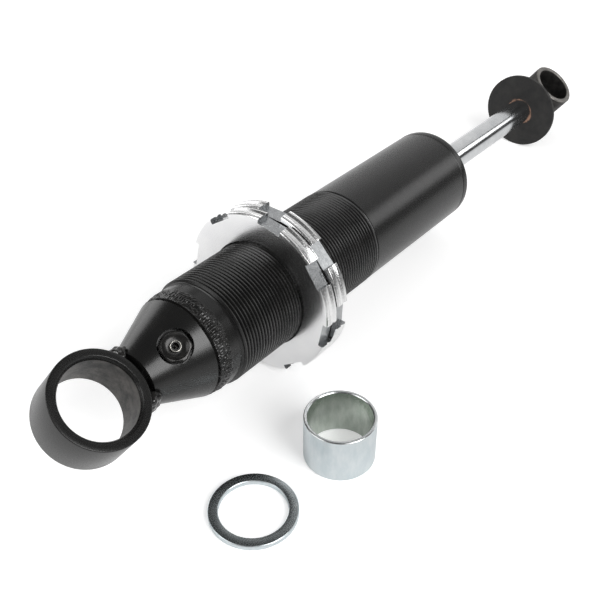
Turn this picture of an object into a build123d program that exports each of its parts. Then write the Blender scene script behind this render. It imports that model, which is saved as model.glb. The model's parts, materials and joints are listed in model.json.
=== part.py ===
"""A coil-over shock absorber with a threaded body, two notched nuts and a chromed rod.

It is a monotube damper, modelled as it lies on a flat surface, on its spring nut and its stop washer.
The origin is the centre of the lower eye, +Z is up, and the damper runs along +X, a little downhill.
A station is a distance along the damper's own axis from the lower eye. All sizes are in millimetres.
"""

from build123d import *
from math import atan2, cos, radians, sin, sqrt, tan
import os

# Sizes: the whole damper
stroke = 105.0
gas_room = 20.7
bump_room = 17.7
eye_turn = 35.6

# Sizes: fits
slide_gap = 0.05
seal_gap = 0.03
locate_gap = 0.02

# Sizes: eyes
lower_eye_dia = 45.3
lower_eye_bore = 35.6
lower_eye_width = 23.4
lower_eye_rim_bevel = 0.9
lower_eye_bore_bevel = 1.2
upper_eye_dia = 30.3
upper_eye_bore = 23.8
upper_eye_width = 33.3
upper_eye_bevel = 0.5

# Sizes: base, its butt against the eye, and the two welds
cone_gap = 1.65
cone_small_dia = 27.0
cone_step = 0.9
cone_length = 27.2
butt_dia = 16.0
spigot_length = 13.0
gas_port_dia = 5.0
weld_width = 9.5
weld_root = 1.6
weld_crown = 0.35
eye_weld_dia = 35.2
eye_weld_run = 5.6
eye_weld_sink = 0.5
eye_weld_length = 19.0

# Sizes: body tube
thread_dia = 55.0
collar_drop = 1.5
collar_wall = 3.0
tube_drop = 0.2
collar_length = 6.4
thread_length = 108.4
thread_bevel = 1.2
thread_step = 0.4
thread_pitch = 2.0
thread_depth = 1.2
thread_angle = 60.0
turns_per_groove = 3

# Sizes: gas valve
valve_rise = 14.8
valve_turn = 1.6
recess_dia = 16.2
recess_depth = 5.6
valve_hex = 13.0
valve_hex_bevel = 0.5
valve_head = 5.0
valve_shank_dia = 10.0
valve_shank = 9.0
valve_dish_dia = 10.6
valve_dish_depth = 1.6
valve_nose_dia = 5.4
valve_nose_rise = 0.6
valve_bore_dia = 3.6
core_length = 9.0
core_bore_dia = 1.7
pin_length = 10.5
pin_recess = 0.2
passage_dia = 3.0
valve_seal_section = 1.6

# Sizes: spring nut and lock nut
nut_dia = 86.0
nut_thickness = 8.4
nut_bevel = 0.7
nut_groove_start = 4.0
nut_groove_width = 2.1
nut_groove_depth = 0.7
notch_count = 8
notch_width = 13.3
notch_depth = 3.2
lock_nut_rise = 41.2
nut_gap = 0.1
lock_nut_turn = 9.0

# Sizes: rod and rod end
rod_dia = 16.0
washer_dia = 49.0
washer_thickness = 2.3
washer_bevel = 0.3
neck_length = 10.55
neck_dia = 24.0
neck_taper = 2.0
rod_end_gap = 1.0

# Sizes: end cap, circlip and seal head
cap_thickness = 5.5
cap_spigot = 5.5
cap_round = 1.6
cap_groove = 0.35
rod_hole_gap = 0.6
wire_dia = 2.2
wire_flats = 8
wire_seat = 0.25
wire_opening = 24.0
seal_head_length = 21.5
bush_length = 12.0
bush_wall = 1.5
bush_setback = 1.0
rod_seal_width = 4.4
rod_seal_length = 5.0
rod_seal_lip = 1.4
wiper_width = 3.2
wiper_length = 4.0
wiper_lip = 0.6
o_ring_section = 2.6
o_ring_side_gap = 0.3

# Sizes: piston and what is stacked on the rod's spindle
spindle_dia = 10.0
spindle_bevel = 1.0
spindle_stub = 1.7
bumper_length = 6.0
bumper_dia = 26.0
stop_gap = 0.5
plate_thickness = 3.0
plate_dia = 24.0
shim_thickness = 0.4
shim_count = 4
shim_large_dia = 30.4
shim_step = 2.6
piston_length = 14.4
piston_land_gap = 0.6
port_pairs = 4
port_dia = 4.6
port_outer_radius = 17.8
port_inner_radius = 12.0
band_width = 8.0
band_thickness = 1.5
band_side_gap = 0.1
spindle_nut_hex = 17.0
spindle_nut_length = 8.0
spindle_nut_bevel = 0.8

# Sizes: floating piston
floating_clearance = 5.0
floating_length = 18.0
floating_crown = 7.0
floating_skirt = 5.4
floating_band_width = 4.0
floating_band_thickness = 1.0
floating_land = 2.5

# Sizes: loose sleeve and ring for the eyes
sleeve_dia = 33.8
sleeve_bore = 30.1
sleeve_height = 24.6
sleeve_bevel = 0.5
sleeve_place = (80.5, -71.0)
ring_dia = 40.3
ring_bore = 31.0
ring_thickness = 2.75
ring_bevel = 0.3
ring_place = (29.5, -61.2)

# Radii used by several pieces; the tube's other diameters follow its thread
thread_r = thread_dia / 2
collar_r = thread_r - collar_drop
upper_tube_r = thread_r - tube_drop
bore_r = collar_r - collar_wall
cone_large_r = collar_r - cone_step
cone_small_r = cone_small_dia / 2
rod_r = rod_dia / 2
nut_r = nut_dia / 2
spindle_r = spindle_dia / 2
rod_hole_r = rod_r + rod_hole_gap

# Stations of the base, its weld band and the body's thread
cone_start = lower_eye_dia / 2 + cone_gap
cone_end = cone_start + cone_length
weld_end = cone_end + weld_width
root_near = (cone_end + weld_end - weld_root) / 2
root_far = root_near + weld_root
spigot_end = cone_end + spigot_length
cone_angle = atan2(cone_large_r - cone_small_r, cone_length)
valve_station = cone_start + valve_rise
thread_start = weld_end + collar_length
thread_end = thread_start + thread_length

# The floating piston moves by the volume of rod that enters, and the spindle never reaches it
floating_travel = stroke * (rod_r / bore_r) ** 2
floating_low = spigot_end + gas_room
floating_high = floating_low + floating_length

# Stations of the stack, from the spindle's tip up to the rod's shoulder
spindle_tip = floating_high - floating_travel + floating_clearance + stroke
spindle_nut_low = spindle_tip + spindle_stub
rebound_shims_low = spindle_nut_low + spindle_nut_length
piston_low = rebound_shims_low + shim_count * shim_thickness
piston_high = piston_low + piston_length
plate_low = piston_high + shim_count * shim_thickness
rod_shoulder = plate_low + plate_thickness

# Stations of the seal head, circlip and end cap
seal_head_start = rod_shoulder + bumper_length + stop_gap
seal_head_end = seal_head_start + seal_head_length
circlip_station = seal_head_end + wire_dia / 2
cap_start = circlip_station + wire_dia / 2
tube_end = cap_start + cap_spigot
body_end = tube_end + cap_thickness

# Stations of the rod's end, with room for a bump stop between the body and the stop washer
washer_face = body_end + bump_room + stroke
washer_back = washer_face + washer_thickness
eye_spacing = washer_back + neck_length + upper_eye_dia / 2

# The damper lies on the two corners of a spring nut notch and on the stop washer
lock_nut_face = thread_start + lock_nut_rise
spring_nut_face = lock_nut_face + nut_thickness + nut_gap
nut_touch_station = spring_nut_face + nut_thickness - nut_bevel
nut_touch_radius = sqrt(nut_r**2 - (notch_width / 2) ** 2)
washer_touch_station = washer_back - washer_bevel
slope = atan2(nut_touch_radius - washer_dia / 2, washer_touch_station - nut_touch_station)
floor_height = -(nut_touch_station * sin(slope) + nut_touch_radius * cos(slope))

# Directions: along the damper, square to it and upwards, along the eyes' bores, and to their side
shock_dir = Vector(cos(slope), 0, -sin(slope))
lift_dir = Vector(sin(slope), 0, cos(slope))
eye_dir = lift_dir * cos(radians(eye_turn)) - Vector(0, 1, 0) * sin(radians(eye_turn))
side_dir = shock_dir.cross(eye_dir)
shock_axis = Axis((0, 0, 0), shock_dir)

# Profiles of turned pieces are drawn here, with the station across and the radius up
profile_plane = Plane(origin=(0, 0, 0), x_dir=shock_dir, z_dir=(0, -1, 0))
floor_plane = Plane.XY.offset(floor_height)


# The plane square to the damper at a station, with x along the eyes' bores
def station_plane(station):
    return Plane(origin=shock_dir * station, x_dir=eye_dir, z_dir=shock_dir)


# The plane through an eye's centre and square to its bore, with x along the damper
def eye_plane(station):
    return Plane(origin=shock_dir * station, x_dir=shock_dir, z_dir=eye_dir)


# The cone's radius at a station
def cone_radius(station):
    return cone_small_r + (station - cone_start) * tan(cone_angle)


# A closed profile through points of station and radius
def outline(*points):
    with BuildSketch(profile_plane) as profile:
        with BuildLine():
            Polyline(*points, close=True)
        make_face()
    return profile.sketch


# The profile of a plain ring between two stations and two radii
def ring_outline(start, end, inner, outer):
    return outline((start, inner), (end, inner), (end, outer), (start, outer))


# The profile of a ring of wire or rubber cord, with flats in place of the round section
def wire_outline(station, radius, section):
    with BuildSketch(profile_plane) as profile:
        with Locations((station, radius)):
            RegularPolygon(section / 2, wire_flats, major_radius=False, rotation=180 / wire_flats)
    return profile.sketch


# A solid disc that fills an eye, for cutting the pieces that butt against it
def eye_disc(station, dia, width):
    with BuildPart() as disc:
        with BuildSketch(eye_plane(station).offset(-width / 2)):
            Circle(dia / 2)
        extrude(amount=width)
    return disc.part


# An eye: a plain ring, bevelled at its rims and at the mouths of its bore
def make_eye(station, dia, bore, width, rim_bevel, bore_bevel):
    with BuildPart() as eye:
        with BuildSketch(eye_plane(station).offset(-width / 2)):
            Circle(dia / 2)
            Circle(bore / 2, mode=Mode.SUBTRACT)
        extrude(amount=width)
        inner_edges, outer_edges = eye.edges().filter_by(GeomType.CIRCLE).group_by(SortBy.RADIUS)
        chamfer(outer_edges, rim_bevel)
        chamfer(inner_edges, bore_bevel)
    return eye


lower_eye = make_eye(
    0, lower_eye_dia, lower_eye_bore, lower_eye_width, lower_eye_rim_bevel, lower_eye_bore_bevel
)
upper_eye = make_eye(
    eye_spacing, upper_eye_dia, upper_eye_bore, upper_eye_width, upper_eye_bevel, upper_eye_bevel
)

# The gas valve stands square to the cone's surface, and its passage leads on into the gas chamber
valve_out = eye_dir * cos(radians(valve_turn)) + side_dir * sin(radians(valve_turn))
valve_dir = valve_out * cos(cone_angle) - shock_dir * sin(cone_angle)
valve_mouth = shock_dir * valve_station + valve_out * cone_radius(valve_station)
valve_depth = cone_radius(valve_station) / cos(cone_angle)
valve_plane = Plane(origin=valve_mouth, x_dir=valve_out.cross(shock_dir), z_dir=valve_dir)
recess_floor = valve_plane.offset(-recess_depth)
head_top = recess_floor.offset(valve_head)
nose_top = head_top.offset(valve_nose_rise)
passage_meets = valve_station + cone_radius(valve_station) * tan(cone_angle)

with BuildPart() as base_cone:
    revolve(
        outline(
            (cone_start, 0),
            (cone_start, cone_small_r),
            (cone_end, cone_large_r),
            (root_near, bore_r - locate_gap),
            (spigot_end, bore_r - locate_gap),
            (spigot_end, 0),
        ),
        axis=shock_axis,
    )
    with BuildSketch(station_plane(cone_start)):
        Circle(butt_dia / 2)
    extrude(amount=-cone_start)
    add(eye_disc(0, lower_eye_dia, lower_eye_width), mode=Mode.SUBTRACT)
    with BuildSketch(station_plane(spigot_end)):
        Circle(gas_port_dia / 2)
    extrude(amount=passage_meets - spigot_end, mode=Mode.SUBTRACT)
    with BuildSketch(recess_floor):
        Circle(recess_dia / 2)
    extrude(amount=2 * recess_depth, mode=Mode.SUBTRACT)
    with BuildSketch(recess_floor):
        Circle(valve_shank_dia / 2 + valve_seal_section)
    extrude(amount=-valve_seal_section, mode=Mode.SUBTRACT)
    with BuildSketch(recess_floor):
        Circle(valve_shank_dia / 2)
    extrude(amount=-valve_shank, mode=Mode.SUBTRACT)
    with BuildSketch(recess_floor):
        Circle(passage_dia / 2)
    extrude(amount=recess_depth - valve_depth, mode=Mode.SUBTRACT)

# A weld bead on each side fills the wedge between the eye and the cone, and leaves the front open
weld_climb = cone_start + eye_weld_run
with BuildPart() as lower_eye_welds:
    with BuildSketch(profile_plane):
        with BuildLine():
            low_toe = (lower_eye_dia / 4, eye_weld_dia / 2)
            high_toe = (weld_climb, cone_radius(weld_climb) - eye_weld_sink)
            bead_middle = ((low_toe[0] + high_toe[0]) / 2, eye_weld_dia / 2)
            ThreePointArc(low_toe, bead_middle, high_toe)
            Polyline(high_toe, (weld_climb, butt_dia / 2), (low_toe[0], butt_dia / 2), low_toe)
        make_face()
    revolve(axis=shock_axis)
    with BuildSketch(eye_plane(0).offset(-eye_weld_length / 2)):
        Rectangle(2 * cone_end, eye_weld_dia + 2 * eye_weld_sink)
    extrude(amount=eye_weld_length, mode=Mode.INTERSECT)
    with BuildSketch(eye_plane(0).offset(-eye_weld_length)):
        Rectangle(2 * cone_end, butt_dia)
    extrude(amount=2 * eye_weld_length, mode=Mode.SUBTRACT)
    add(eye_disc(0, lower_eye_dia, lower_eye_width), mode=Mode.SUBTRACT)
    add(base_cone.part, mode=Mode.SUBTRACT)

with BuildPart() as base_weld_ring:
    with BuildSketch(profile_plane):
        with BuildLine():
            near_toe = (cone_end, cone_large_r)
            far_toe = (weld_end, collar_r)
            middle = ((near_toe[0] + far_toe[0]) / 2, (near_toe[1] + far_toe[1]) / 2 + weld_crown)
            ThreePointArc(near_toe, middle, far_toe)
            Polyline(
                far_toe,
                (root_far, bore_r),
                (root_far, bore_r - locate_gap),
                (root_near, bore_r - locate_gap),
                near_toe,
            )
        make_face()
    revolve(axis=shock_axis)

# Gas valve: a hexagon head with a dished top, a core pressed into it and a pin that opens it
with BuildPart() as gas_valve_body:
    with BuildSketch(recess_floor):
        RegularPolygon(valve_hex / 2, 6, major_radius=False)
    extrude(amount=valve_head)
    chamfer(gas_valve_body.faces().sort_by(Axis(valve_mouth, valve_dir))[-1].edges(), valve_hex_bevel)
    with BuildSketch(head_top):
        Circle(valve_dish_dia / 2)
        Circle(valve_nose_dia / 2, mode=Mode.SUBTRACT)
    extrude(amount=-valve_dish_depth, mode=Mode.SUBTRACT)
    with BuildSketch(head_top):
        Circle(valve_nose_dia / 2)
    extrude(amount=valve_nose_rise)
    with BuildSketch(recess_floor):
        Circle(valve_shank_dia / 2 - locate_gap)
    extrude(amount=-valve_shank)
    with BuildSketch(nose_top):
        Circle(valve_bore_dia / 2)
    extrude(amount=-(valve_nose_rise + valve_head + valve_shank), mode=Mode.SUBTRACT)

with BuildPart() as gas_valve_core:
    with BuildSketch(nose_top.offset(-pin_recess)):
        Circle(valve_bore_dia / 2 - locate_gap)
        Circle(core_bore_dia / 2, mode=Mode.SUBTRACT)
    extrude(amount=-core_length)

with BuildPart() as gas_valve_pin:
    with BuildSketch(nose_top.offset(-pin_recess)):
        Circle(core_bore_dia / 2 - slide_gap)
    extrude(amount=-pin_length)

with BuildPart() as gas_valve_seal:
    with BuildSketch(recess_floor):
        Circle(valve_shank_dia / 2 + valve_seal_section)
        Circle(valve_shank_dia / 2, mode=Mode.SUBTRACT)
    extrude(amount=-valve_seal_section)
    chamfer(gas_valve_seal.edges().filter_by(GeomType.CIRCLE), valve_seal_section / 4)

# Body tube: a smooth collar, the long thread, then a smooth upper length
# The thread stands at its full diameter, with the groove of every third turn cut as a ring
groove_r = bore_r + wire_seat + wire_dia / 2 + locate_gap
groove_pitch = turns_per_groove * thread_pitch
groove_half_width = thread_depth * tan(radians(thread_angle / 2))
groove_count = int((thread_end - thread_start) / groove_pitch)
with BuildPart() as body_tube:
    revolve(
        outline(
            (root_far, bore_r),
            (weld_end, collar_r),
            (thread_start - thread_bevel, collar_r),
            (thread_start, thread_r),
            (thread_end, thread_r),
            (thread_end + thread_step, upper_tube_r),
            (tube_end - cap_groove, upper_tube_r),
            (tube_end, upper_tube_r - cap_groove),
            (tube_end, bore_r),
        ),
        axis=shock_axis,
    )
    for groove in range(groove_count):
        bottom = thread_start + (groove + 0.5) * groove_pitch
        revolve(
            outline(
                (bottom, thread_r - thread_depth),
                (bottom + groove_half_width, thread_r),
                (bottom - groove_half_width, thread_r),
            ),
            axis=shock_axis,
            mode=Mode.SUBTRACT,
        )
    revolve(
        ring_outline(seal_head_end - locate_gap, cap_start + locate_gap, bore_r / 2, groove_r),
        axis=shock_axis,
        mode=Mode.SUBTRACT,
    )

# End cap: a flange as wide as the tube, a spigot that holds the circlip, and a pocket for the wiper
with BuildPart() as end_cap:
    revolve(
        outline(
            (cap_start, rod_hole_r),
            (cap_start, bore_r - locate_gap),
            (tube_end, bore_r - locate_gap),
            (tube_end, upper_tube_r - cap_groove),
            (tube_end + cap_groove, upper_tube_r),
            (body_end, upper_tube_r),
            (body_end, rod_hole_r),
        ),
        axis=shock_axis,
    )
    end_rim = end_cap.edges().filter_by(GeomType.CIRCLE).group_by(shock_axis)[-1].sort_by(SortBy.RADIUS)[-1]
    fillet(end_rim, cap_round)
    revolve(
        ring_outline(body_end - wiper_length, body_end, rod_r / 2, rod_r + wiper_width),
        axis=shock_axis,
        mode=Mode.SUBTRACT,
    )

with BuildPart() as wiper_seal:
    revolve(
        outline(
            (body_end - wiper_length, rod_hole_r),
            (body_end - wiper_length, rod_r + wiper_width),
            (body_end, rod_r + wiper_width),
            (body_end + wiper_lip, rod_r + wiper_lip),
            (body_end + wiper_lip, rod_r + seal_gap),
            (body_end - wiper_length / 2, rod_r + seal_gap),
        ),
        axis=shock_axis,
    )

with BuildPart() as circlip:
    revolve(
        wire_outline(circlip_station, bore_r + wire_seat, wire_dia),
        axis=shock_axis,
        revolution_arc=360 - wire_opening,
    )

# Seal head: an open seat for the guide bush below, a pocket for the rod seal above
bush_low = seal_head_start + bush_setback
bush_high = bush_low + bush_length
bush_outer = rod_r + seal_gap + bush_wall
seal_groove_width = o_ring_section + 2 * o_ring_side_gap
seal_groove_low = (seal_head_start + seal_head_end - seal_groove_width) / 2
with BuildPart() as seal_head:
    revolve(
        ring_outline(seal_head_start, seal_head_end, rod_hole_r, bore_r - locate_gap), axis=shock_axis
    )
    revolve(
        ring_outline(seal_head_start, bush_high, rod_r, bush_outer), axis=shock_axis, mode=Mode.SUBTRACT
    )
    revolve(
        ring_outline(seal_head_end - rod_seal_length, seal_head_end, rod_r, rod_r + rod_seal_width),
        axis=shock_axis,
        mode=Mode.SUBTRACT,
    )
    revolve(
        ring_outline(
            seal_groove_low, seal_groove_low + seal_groove_width, bore_r - o_ring_section, bore_r
        ),
        axis=shock_axis,
        mode=Mode.SUBTRACT,
    )

with BuildPart() as seal_head_o_ring:
    revolve(
        wire_outline(
            seal_groove_low + seal_groove_width / 2, bore_r - o_ring_section / 2, o_ring_section
        ),
        axis=shock_axis,
    )

with BuildPart() as guide_bush:
    revolve(ring_outline(bush_low, bush_high, rod_r + seal_gap, bush_outer), axis=shock_axis)

# Rod seal: a cup whose open lips face the oil
seal_low = seal_head_end - rod_seal_length
seal_inner = rod_r + seal_gap
seal_outer = rod_r + rod_seal_width
with BuildPart() as rod_seal:
    revolve(
        outline(
            (seal_low, seal_inner),
            (seal_low, seal_inner + rod_seal_lip),
            (seal_low + rod_seal_length / 2, (seal_inner + seal_outer) / 2),
            (seal_low, seal_outer - rod_seal_lip),
            (seal_low, seal_outer),
            (seal_head_end, seal_outer),
            (seal_head_end, seal_inner),
        ),
        axis=shock_axis,
    )

# Piston rod: a spindle for the piston, a shoulder, and the chromed length up to the upper eye
rod_end = eye_spacing - upper_eye_dia / 2 - rod_end_gap
with BuildPart() as piston_rod:
    revolve(
        outline(
            (spindle_tip, 0),
            (spindle_tip, spindle_r - spindle_bevel),
            (spindle_tip + spindle_bevel, spindle_r),
            (rod_shoulder, spindle_r),
            (rod_shoulder, rod_r),
            (rod_end, rod_r),
            (rod_end, 0),
        ),
        axis=shock_axis,
    )

with BuildPart() as rebound_bumper:
    revolve(
        ring_outline(rod_shoulder, rod_shoulder + bumper_length, rod_r, bumper_dia / 2), axis=shock_axis
    )

with BuildPart() as stop_plate:
    revolve(ring_outline(plate_low, rod_shoulder, spindle_r, plate_dia / 2), axis=shock_axis)


# A stack of thin discs that grow towards the piston's face
def make_shims(face, away):
    with BuildPart() as shims:
        for disc in range(shim_count):
            near = face + away * disc * shim_thickness
            far = near + away * shim_thickness
            disc_r = (shim_large_dia - disc * shim_step) / 2
            revolve(ring_outline(min(near, far), max(near, far), spindle_r, disc_r), axis=shock_axis)
    return shims


compression_shims = make_shims(piston_high, 1)
rebound_shims = make_shims(piston_low, -1)


# A slanted port through the piston, from a radius on its low face to one on its high face
def port_plane(angle, low_radius, high_radius):
    out = eye_dir * cos(radians(angle)) + side_dir * sin(radians(angle))
    low = shock_dir * piston_low + out * low_radius
    high = shock_dir * piston_high + out * high_radius
    return Plane(origin=(low + high) * 0.5, x_dir=shock_dir.cross(out), z_dir=high - low)


# Each port opens beyond the shims on one face and comes out under them on the other
band_low = (piston_low + piston_high - band_width) / 2
band_inner = bore_r - slide_gap - band_thickness
with BuildPart() as piston:
    revolve(
        ring_outline(piston_low, piston_high, spindle_r, bore_r - piston_land_gap), axis=shock_axis
    )
    revolve(
        ring_outline(
            band_low - band_side_gap,
            band_low + band_width + band_side_gap,
            band_inner - slide_gap,
            bore_r,
        ),
        axis=shock_axis,
        mode=Mode.SUBTRACT,
    )
    for pair in range(port_pairs):
        angle = pair * 360 / port_pairs
        with BuildSketch(port_plane(angle, port_outer_radius, port_inner_radius)):
            Circle(port_dia / 2)
        extrude(amount=piston_length, both=True, mode=Mode.SUBTRACT)
        with BuildSketch(port_plane(angle + 180 / port_pairs, port_inner_radius, port_outer_radius)):
            Circle(port_dia / 2)
        extrude(amount=piston_length, both=True, mode=Mode.SUBTRACT)

with BuildPart() as piston_band:
    revolve(
        ring_outline(band_low, band_low + band_width, band_inner, bore_r - slide_gap), axis=shock_axis
    )

with BuildPart() as piston_nut:
    with BuildSketch(station_plane(spindle_nut_low)):
        RegularPolygon(spindle_nut_hex / 2, 6, major_radius=False)
    extrude(amount=spindle_nut_length)
    chamfer(piston_nut.faces().sort_by(shock_axis)[0].edges(), spindle_nut_bevel)
    with BuildSketch(station_plane(spindle_nut_low)):
        Circle(spindle_r)
    extrude(amount=spindle_nut_length, mode=Mode.SUBTRACT)

# Rod end: a stop washer on the rod, and a neck that joins it to the upper eye
with BuildPart() as stop_washer:
    revolve(ring_outline(washer_face, washer_back, rod_r, washer_dia / 2), axis=shock_axis)
    washer_rims = stop_washer.edges().filter_by(GeomType.CIRCLE).group_by(SortBy.RADIUS)[-1]
    chamfer(washer_rims, washer_bevel)

with BuildPart() as upper_eye_weld:
    revolve(
        outline(
            (washer_back, 0),
            (washer_back, neck_dia / 2),
            (eye_spacing - upper_eye_dia / 4, neck_dia / 2 - neck_taper),
            (eye_spacing - upper_eye_dia / 4, 0),
        ),
        axis=shock_axis,
    )
    add(eye_disc(eye_spacing, upper_eye_dia, upper_eye_width), mode=Mode.SUBTRACT)
    add(piston_rod.part, mode=Mode.SUBTRACT)

# Floating piston: a cup that keeps the gas from the oil, with a seal by its crown and a band below
floating_r = bore_r - slide_gap
floating_seal_low = floating_high - floating_land - seal_groove_width
floating_band_low = floating_low + floating_land
with BuildPart() as floating_piston:
    revolve(
        outline(
            (floating_low, floating_r),
            (floating_high, floating_r),
            (floating_high, 0),
            (floating_high - floating_crown, 0),
            (floating_high - floating_crown, floating_r - floating_skirt),
            (floating_low, floating_r - floating_skirt),
        ),
        axis=shock_axis,
    )
    revolve(
        ring_outline(
            floating_seal_low,
            floating_seal_low + seal_groove_width,
            bore_r - seal_gap - o_ring_section,
            bore_r,
        ),
        axis=shock_axis,
        mode=Mode.SUBTRACT,
    )
    revolve(
        ring_outline(
            floating_band_low,
            floating_band_low + floating_band_width,
            bore_r - seal_gap - floating_band_thickness,
            bore_r,
        ),
        axis=shock_axis,
        mode=Mode.SUBTRACT,
    )

with BuildPart() as floating_piston_o_ring:
    revolve(
        wire_outline(
            floating_seal_low + seal_groove_width / 2,
            bore_r - seal_gap - o_ring_section / 2,
            o_ring_section,
        ),
        axis=shock_axis,
    )

with BuildPart() as floating_piston_band:
    revolve(
        ring_outline(
            floating_band_low,
            floating_band_low + floating_band_width,
            bore_r - seal_gap - floating_band_thickness,
            bore_r - seal_gap,
        ),
        axis=shock_axis,
    )


# A notched nut on the body's thread, with a shallow groove round its rim
def make_nut(face, turn):
    back = face + nut_thickness
    bore = thread_r + slide_gap
    groove = face + nut_groove_start
    with BuildPart() as nut:
        revolve(
            outline(
                (face, bore + nut_bevel),
                (face, nut_r - nut_bevel),
                (face + nut_bevel, nut_r),
                (groove, nut_r),
                (groove + nut_groove_width / 4, nut_r - nut_groove_depth),
                (groove + nut_groove_width, nut_r),
                (back - nut_bevel, nut_r),
                (back, nut_r - nut_bevel),
                (back, bore + nut_bevel),
                (back - nut_bevel, bore),
                (face + nut_bevel, bore),
            ),
            axis=shock_axis,
        )
        with BuildSketch(station_plane(face)):
            with PolarLocations(nut_r, notch_count, start_angle=turn):
                Rectangle(2 * notch_depth, notch_width)
        extrude(amount=nut_thickness, mode=Mode.SUBTRACT)
    return nut


# The spring nut lies with a notch straight down, and the lock nut is turned a little further
notch_down = 180 - eye_turn
spring_nut = make_nut(spring_nut_face, notch_down)
lock_nut = make_nut(lock_nut_face, notch_down + lock_nut_turn)

with BuildPart() as loose_sleeve:
    with BuildSketch(floor_plane):
        with Locations(sleeve_place):
            Circle(sleeve_dia / 2)
            Circle(sleeve_bore / 2, mode=Mode.SUBTRACT)
    extrude(amount=sleeve_height)
    chamfer(loose_sleeve.edges().filter_by(GeomType.CIRCLE), sleeve_bevel)

with BuildPart() as loose_ring:
    with BuildSketch(floor_plane):
        with Locations(ring_place):
            Circle(ring_dia / 2)
            Circle(ring_bore / 2, mode=Mode.SUBTRACT)
    extrude(amount=ring_thickness)
    chamfer(loose_ring.edges().filter_by(GeomType.CIRCLE), ring_bevel)

pieces = {
    "lower_eye": lower_eye,
    "lower_eye_welds": lower_eye_welds,
    "base_cone": base_cone,
    "base_weld_ring": base_weld_ring,
    "gas_valve_body": gas_valve_body,
    "gas_valve_core": gas_valve_core,
    "gas_valve_pin": gas_valve_pin,
    "gas_valve_seal": gas_valve_seal,
    "body_tube": body_tube,
    "end_cap": end_cap,
    "wiper_seal": wiper_seal,
    "circlip": circlip,
    "seal_head": seal_head,
    "seal_head_o_ring": seal_head_o_ring,
    "guide_bush": guide_bush,
    "rod_seal": rod_seal,
    "piston_rod": piston_rod,
    "rebound_bumper": rebound_bumper,
    "stop_plate": stop_plate,
    "compression_shims": compression_shims,
    "piston": piston,
    "piston_band": piston_band,
    "rebound_shims": rebound_shims,
    "piston_nut": piston_nut,
    "stop_washer": stop_washer,
    "upper_eye_weld": upper_eye_weld,
    "upper_eye": upper_eye,
    "floating_piston": floating_piston,
    "floating_piston_o_ring": floating_piston_o_ring,
    "floating_piston_band": floating_piston_band,
    "spring_nut": spring_nut,
    "lock_nut": lock_nut,
    "loose_sleeve": loose_sleeve,
    "loose_ring": loose_ring,
}

os.makedirs("parts", exist_ok=True)
for name, piece in pieces.items():
    piece.part.label = name
    export_step(piece.part, f"parts/{name}.step")
    print(name, round(piece.part.volume, 1))
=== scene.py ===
# Dresses the shock absorber: black coated steel, bright notched nuts, a chromed rod and zinc-plated rings
import json
import math
import random

import bmesh
import bpy
from mathutils import Matrix, Vector, noise


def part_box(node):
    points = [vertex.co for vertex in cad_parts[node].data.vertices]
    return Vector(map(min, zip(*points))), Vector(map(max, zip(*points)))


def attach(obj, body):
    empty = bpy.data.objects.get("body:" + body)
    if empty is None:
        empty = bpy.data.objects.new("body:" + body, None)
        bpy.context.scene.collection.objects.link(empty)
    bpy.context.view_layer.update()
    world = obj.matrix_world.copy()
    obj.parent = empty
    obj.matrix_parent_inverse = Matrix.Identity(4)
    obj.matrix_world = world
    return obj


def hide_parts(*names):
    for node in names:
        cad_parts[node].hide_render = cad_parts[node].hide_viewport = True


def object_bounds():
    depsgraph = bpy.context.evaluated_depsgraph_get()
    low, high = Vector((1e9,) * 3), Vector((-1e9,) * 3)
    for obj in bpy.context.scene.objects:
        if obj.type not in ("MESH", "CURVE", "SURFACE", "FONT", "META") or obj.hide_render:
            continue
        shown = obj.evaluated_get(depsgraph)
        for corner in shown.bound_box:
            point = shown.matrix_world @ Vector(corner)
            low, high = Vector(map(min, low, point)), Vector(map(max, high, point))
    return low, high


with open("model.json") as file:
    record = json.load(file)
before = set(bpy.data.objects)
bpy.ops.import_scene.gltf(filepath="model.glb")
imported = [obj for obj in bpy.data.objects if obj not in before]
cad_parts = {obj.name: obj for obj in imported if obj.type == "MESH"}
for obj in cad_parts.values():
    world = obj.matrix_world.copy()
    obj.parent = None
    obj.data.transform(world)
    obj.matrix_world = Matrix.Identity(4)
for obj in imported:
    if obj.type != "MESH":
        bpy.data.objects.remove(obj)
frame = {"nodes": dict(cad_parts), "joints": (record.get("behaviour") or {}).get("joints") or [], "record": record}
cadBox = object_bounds()
mm = 0.001
tiny = 0.001 * mm  # nearer than this, two points are one

# The damper's own directions and its two eyes, as the frame gives them
joints = {joint["name"]: joint for joint in frame["joints"]}
mounts = {mount["name"]: mount for mount in frame["record"]["mounts"]}
alongDamper = Vector(joints["rod_slide"]["axis"]).normalized()
alongEye = Vector(mounts["lower_eye"]["axis"]).normalized()
alongValve = Vector(joints["valve_pin_press"]["axis"]).normalized()
upwards = Vector((0, 0, 1))
lowerEyeCentre = Vector(mounts["lower_eye"]["pos_m"])
upperEyeCentre = Vector(mounts["upper_eye"]["pos_m"])


# A piece's own space: X runs along its axis and Z as near to the second direction as it can
def spaceAlong(direction, towards, centre):
    across = towards.cross(direction).normalized()
    turn = Matrix((direction, across, direction.cross(across))).transposed()
    return Matrix.Translation(centre) @ turn.to_4x4()


def middleOf(node):
    low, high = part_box(node)
    return (low + high) / 2


damperSpace = spaceAlong(alongDamper, alongEye, lowerEyeCentre)
lowerEyeSpace = spaceAlong(alongEye, alongDamper, lowerEyeCentre)
upperEyeSpace = spaceAlong(alongEye, alongDamper, upperEyeCentre)
valveSpace = spaceAlong(alongValve, alongDamper, middleOf("gas_valve_pin"))
sleeveSpace = spaceAlong(upwards, alongDamper, middleOf("loose_sleeve"))
ringSpace = spaceAlong(upwards, alongDamper, middleOf("loose_ring"))


# A CAD node's points in a space, and its lowest and highest station and radius there
def pointsOf(node, space):
    inverse = space.inverted()
    return [inverse @ vertex.co for vertex in frame["nodes"][node].data.vertices]


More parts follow.
